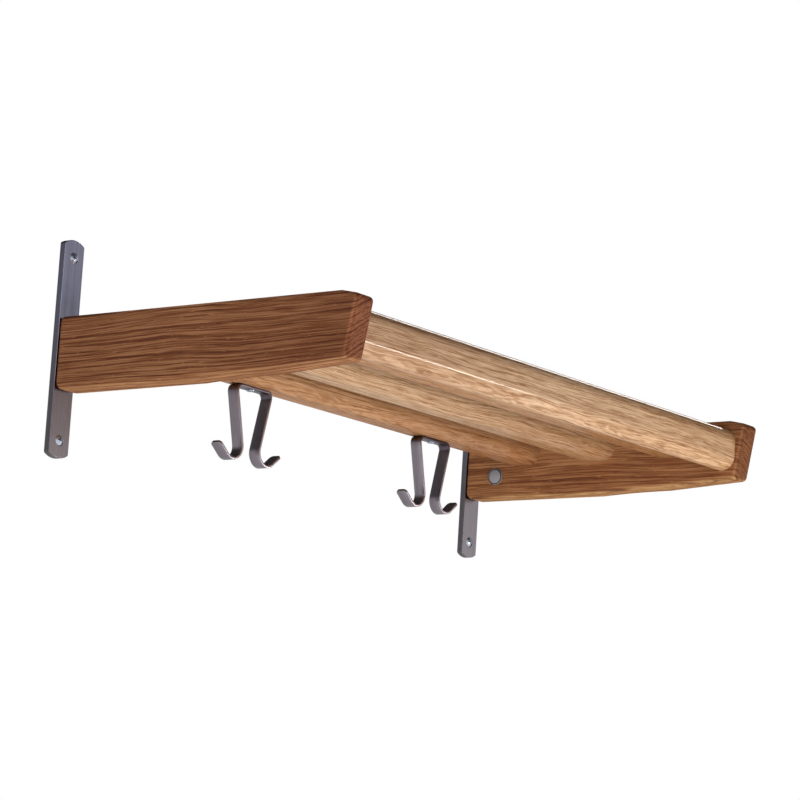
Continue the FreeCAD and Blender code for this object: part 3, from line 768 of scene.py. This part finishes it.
def modelHook(settings):
    thick, bend, curl = settings["thick"], settings["bendRadius"], settings["curlRadius"]
    lean = math.radians(settings["lean"])
    lift = math.radians(settings["curl"] - settings["lean"])
    hook = startPiece(bpy.ops.mesh.primitive_plane_add, "hookModel", size=1,
                      rotation=(0, quarter, 0))
    editAll()
    bpy.ops.transform.resize(value=(1, settings["width"], thick))
    bpy.ops.transform.translate(value=(0, 0, -thick / 2))
    bpy.ops.mesh.bevel(offset=settings["arris"], segments=settings["arrisSteps"],
                       affect="VERTICES")
    bpy.ops.mesh.select_all(action="SELECT")
    pull((settings["flatHalf"], 0, 0))
    bendCentre = Vector((settings["flatHalf"], 0, -thick / 2 - bend))
    spinFace(90 + settings["lean"], bendCentre, settings["bendSteps"])
    outward = Vector((math.cos(lean), 0, -math.sin(lean)))
    down = Vector((-math.sin(lean), 0, -math.cos(lean)))
    pull(down * settings["leg"])
    foot = bendCentre + outward * bend + down * settings["leg"]
    spinFace(-settings["curl"], foot + outward * curl, settings["curlSteps"])
    upward = Vector((math.sin(lift), 0, -math.cos(lift)))
    pull(upward * (settings["tip"] - settings["tipRound"]))
    roundTip(upward, settings)
    pickFaces(hook, lambda middle, normal: (
        abs(middle.x) < nearly and abs(normal.x) > facesAxis))
    bpy.ops.mesh.delete(type="ONLY_FACE")
    bpy.ops.object.mode_set(mode="OBJECT")
    applyModifier(hook, "MIRROR", use_mirror_merge=True, merge_threshold=nearly)
    drill = startPiece(bpy.ops.mesh.primitive_cylinder_add, "drill",
                       vertices=settings["holeSides"], radius=settings["hole"] / 2,
                       depth=4 * thick)
    carve(hook, drill)
    tidyMesh(hook)
    return hook


hookModel = modelHook(hookSettings)
for side, hand in sides.items():
    putCopy(hookModel, f"{side}_bent_hook",
            (hand * hookSettings["place"], -hookSettings["wallDistance"], hookSettings["top"]),
            (0, 0, 0), hookSteel, f"{side}_hook")
bpy.data.objects.remove(hookModel)
print("hooks bent")


# screws: countersunk or round head with a cross recess, wound thread and point

screwSettings = {
    "wall": {
        "head": 9.4 * mm, "shank": 5.0 * mm, "length": 50 * mm,
        "round": 0, "bow": 1.3 * mm},
    "bracket": {
        "head": 9.6 * mm, "shank": 5.0 * mm, "length": 50 * mm,
        "round": 0, "bow": 0},
    "hook": {
        "head": 7.6 * mm, "shank": 4.0 * mm, "length": 23.5 * mm,
        "round": 1.0 * mm, "bow": 0},
}
threadSettings = {
    "sides": 40,
    "neck": 4.0 * mm,
    "neckLength": 3.0 * mm,
    "pitch": 2.0 * mm,
    "depth": 0.7 * mm,
    "turnSteps": 20,
    "point": 3.0 * mm,
    "tip": 0.5 * mm,
    "roundHeadThick": 1.5 * mm,
    "recess": (5.4 * mm, 1.3 * mm, 2.6 * mm),
    "recessTaper": 0.45,
    "softEdge": 0.15 * mm,
    "edgeSteps": 4,
    "bowSteps": 6,
}
screwPlaces = {
    "plateMiddle": 312.5 * mm,
    "wallHeight": 81.7 * mm,
    "wallFront": -5.5 * mm,
    "bracketHeight": 12 * mm,
    "hookTop": -11.2 * mm,
}


def cutRecess(screw, settings):
    length, width, depth = settings["recess"]
    taper = settings["recessTaper"]
    for across in ((length, width), (width, length)):
        blade = startPiece(bpy.ops.mesh.primitive_cube_add, "blade", size=1)
        editAll()
        bpy.ops.transform.resize(value=(*across, 2 * depth))
        pickFaces(blade, lambda middle, normal: normal.z < -facesAxis)
        bpy.ops.transform.resize(value=(taper, taper, 1))
        bpy.ops.object.mode_set(mode="OBJECT")
        carve(screw, blade)


def raiseHead(radius, bow, settings):
    steps = settings["bowSteps"]
    for step in range(1, steps):
        inner = 1 - step / steps
        outer = inner + 1 / steps
        bpy.ops.mesh.inset(thickness=radius / steps)
        bpy.ops.transform.translate(value=(0, 0, bow * (outer ** 2 - inner ** 2)))


def windThread(shank, start, end, settings):
    root = shank / 2 - settings["depth"]
    rounds = int((end - start) / settings["pitch"]) - 1
    ridge = startPiece(bpy.ops.mesh.primitive_circle_add, "ridge", vertices=3,
                       fill_type="NOTHING", radius=settings["depth"],
                       rotation=(quarter, quarter, 0))
    editAll()
    bpy.ops.transform.translate(value=(root, 0, -start - settings["pitch"] * (rounds + 0.5)))
    bpy.ops.object.mode_set(mode="OBJECT")
    applyModifier(ridge, "SCREW", axis="Z", angle=2 * math.pi, screw_offset=settings["pitch"],
                  iterations=rounds, steps=settings["turnSteps"],
                  render_steps=settings["turnSteps"], use_merge_vertices=False)
    bpy.ops.object.mode_set(mode="EDIT")
    bpy.ops.mesh.select_all(action="DESELECT")
    bpy.ops.mesh.select_mode(type="EDGE")
    bpy.ops.mesh.select_non_manifold()
    bpy.ops.mesh.edge_face_add()
    bpy.ops.mesh.select_mode(type="FACE")
    bpy.ops.object.mode_set(mode="OBJECT")
    tidyMesh(ridge)
    return ridge


def modelScrew(name, screw, settings):
    head, shank, length = screw["head"] / 2, screw["shank"] / 2, screw["length"]
    neck, root = settings["neck"] / 2, shank - settings["depth"]
    tip, point = settings["tip"], settings["point"]
    piece = startPiece(bpy.ops.mesh.primitive_circle_add, name, vertices=settings["sides"],
                       radius=head, fill_type="NGON")
    editAll()
    if screw["round"]:
        start = settings["roundHeadThick"]
        pull((0, 0, -start))
        pull((0, 0, 0), (root / head, root / head, 1))
    else:
        start = head - neck + settings["neckLength"]
        pull((0, 0, neck - head), (neck / head, neck / head, 1))
        pull((0, 0, -settings["neckLength"]))
        pull((0, 0, 0), (root / neck, root / neck, 1))
    pull((0, 0, start + point - length))
    pull((0, 0, -point), (tip / root, tip / root, 1))
    rim = screw["round"] or settings["softEdge"]
    pickEdges(piece, lambda middle, edge: middle.z > -nearly)
    bpy.ops.mesh.bevel(offset=rim, segments=settings["edgeSteps"], affect="EDGES")
    if screw["bow"]:
        pickFaces(piece, lambda middle, normal: (
            abs(normal.z) > facesAxis and abs(middle.z) < nearly))
        raiseHead(head - rim, screw["bow"], settings)
    bpy.ops.object.mode_set(mode="OBJECT")
    tidyMesh(piece)
    cutRecess(piece, settings)
    ridge = windThread(screw["shank"], start, length - point, settings)
    selectOnly(ridge, piece)
    bpy.ops.object.join()
    tidyMesh(piece)
    return piece


screwModels = {kind: modelScrew(f"{kind}ScrewModel", settings, threadSettings)
               for kind, settings in screwSettings.items()}
for side, hand in sides.items():
    plateMiddle = hand * screwPlaces["plateMiddle"]
    for level, rise in (("upper", 1), ("lower", -1)):
        putCopy(screwModels["wall"], f"{side}_{level}_threaded_screw",
                (plateMiddle, screwPlaces["wallFront"], rise * screwPlaces["wallHeight"]),
                (quarter, 0, 0), brightZinc, f"{side}_{level}_wall_screw")
    putCopy(screwModels["bracket"], f"{side}_bracket_threaded_screw",
            (plateMiddle, 0, screwPlaces["bracketHeight"]),
            (-quarter, 0, 0), brightZinc, f"{side}_bracket_screw")
    putCopy(screwModels["hook"], f"{side}_hook_threaded_screw",
            (hand * hookSettings["place"], -hookSettings["wallDistance"], screwPlaces["hookTop"]),
            (math.pi, 0, 0), brightZinc, f"{side}_hook_screw")
for model in screwModels.values():
    bpy.data.objects.remove(model)
print("screws cut")


# cover caps of the cam fittings, with a ring groove and a bare face

capSettings = {
    "width": 17 * mm,
    "sides": 72,
    "thick": 1.5 * mm,
    "face": 14 * mm,
    "groove": 1.0 * mm,
    "grooveDepth": 0.7 * mm,
    "grooveLip": 0.02 * mm,
    "stem": 3.0 * mm,
    "stemLength": 3.0 * mm,
    "softEdge": 0.25 * mm,
    "edgeSteps": 3,
    "sharpEdge": 60,
    "innerFace": 300 * mm,
    "wallDistance": 43 * mm,
    "height": -17.3 * mm,
}
capFinish = {
    "color": (0.50, 0.48, 0.51),
    "cloudColor": (0.42, 0.40, 0.43),
    # painted shade: a dark band over the ring groove
    "ringColor": (0.05, 0.05, 0.06),
    "ring": (6.8 * mm, 7.9 * mm),
    "ringFade": 0.2 * mm,
    "grain": (900, 900, 900),
    "fineness": 0.6,
    "metallic": 0.6,
    "rough": 0.38,
    "dentStrength": 0.2,
    "dentDepth": 0.03 * mm,
}


def makeCapGrey(name, finish, settings):
    material, tree, shader = newMaterial(name)
    place = addNode(tree, "ShaderNodeTexCoord").outputs["Object"]
    grains = stretched(tree, place, finish["grain"], rough=finish["fineness"])
    color = mixColors(tree, grains, finish["color"], finish["cloudColor"])
    flat = addNode(tree, "ShaderNodeVectorMath", {0: place, 1: (0, 1, 1)}, operation="MULTIPLY")
    middle = (0, -settings["wallDistance"], settings["height"])
    radius = addNode(tree, "ShaderNodeVectorMath", {0: flat.outputs[0], 1: middle},
                     operation="DISTANCE").outputs["Value"]
    # painted shade: a dark band over the ring groove, between the given radii from the cap's axis
    (low, high), fade = finish["ring"], finish["ringFade"]
    inside = spread(tree, radius, low, low + fade, 0.0, 1.0)
    outside = spread(tree, radius, high - fade, high, 1.0, 0.0)
    ring = compute(tree, "MULTIPLY", inside, outside)
    bump = addNode(tree, "ShaderNodeBump", {
        "Height": grains, "Strength": finish["dentStrength"], "Distance": finish["dentDepth"]})
    fillSockets(tree, shader, {
        "Base Color": mixColors(tree, ring, color, finish["ringColor"]),
        "Metallic": finish["metallic"], "Roughness": finish["rough"],
        "Normal": bump.outputs[0]})
    return material


def modelCap(settings):
    outer, face, thick = settings["width"] / 2, settings["face"] / 2, settings["thick"]
    sharp = math.radians(settings["sharpEdge"])
    cap = startPiece(bpy.ops.mesh.primitive_circle_add, "capModel", vertices=settings["sides"],
                     radius=outer, fill_type="NGON")
    editAll()
    pull((0, 0, thick))
    bpy.ops.mesh.inset(thickness=outer - face - settings["groove"])
    bpy.ops.mesh.inset(thickness=settings["grooveLip"])
    pull((0, 0, -settings["grooveDepth"]))
    bpy.ops.mesh.inset(thickness=settings["groove"])
    pull((0, 0, settings["grooveDepth"]))
    pickFaces(cap, lambda middle, normal: abs(middle.z) < nearly and abs(normal.z) > facesAxis)
    bpy.ops.mesh.inset(thickness=outer - settings["stem"] / 2)
    pull((0, 0, -settings["stemLength"]))
    pickEdges(cap, lambda middle, edge: (
        middle.z > thick - nearly and abs(edge.calc_face_angle(0.0)) > sharp))
    bpy.ops.mesh.bevel(offset=settings["softEdge"], segments=settings["edgeSteps"],
                       affect="EDGES")
    bpy.ops.object.mode_set(mode="OBJECT")
    tidyMesh(cap)
    return cap


capGrey = makeCapGrey("capGrey", capFinish, capSettings)
capModel = modelCap(capSettings)
for side, hand in sides.items():
    putCopy(capModel, f"{side}_moulded_cap",
            (hand * capSettings["innerFace"], -capSettings["wallDistance"], capSettings["height"]),
            (0, -hand * quarter, 0), capGrey, f"{side}_cam_cap")
bpy.data.objects.remove(capModel)
print("caps moulded")
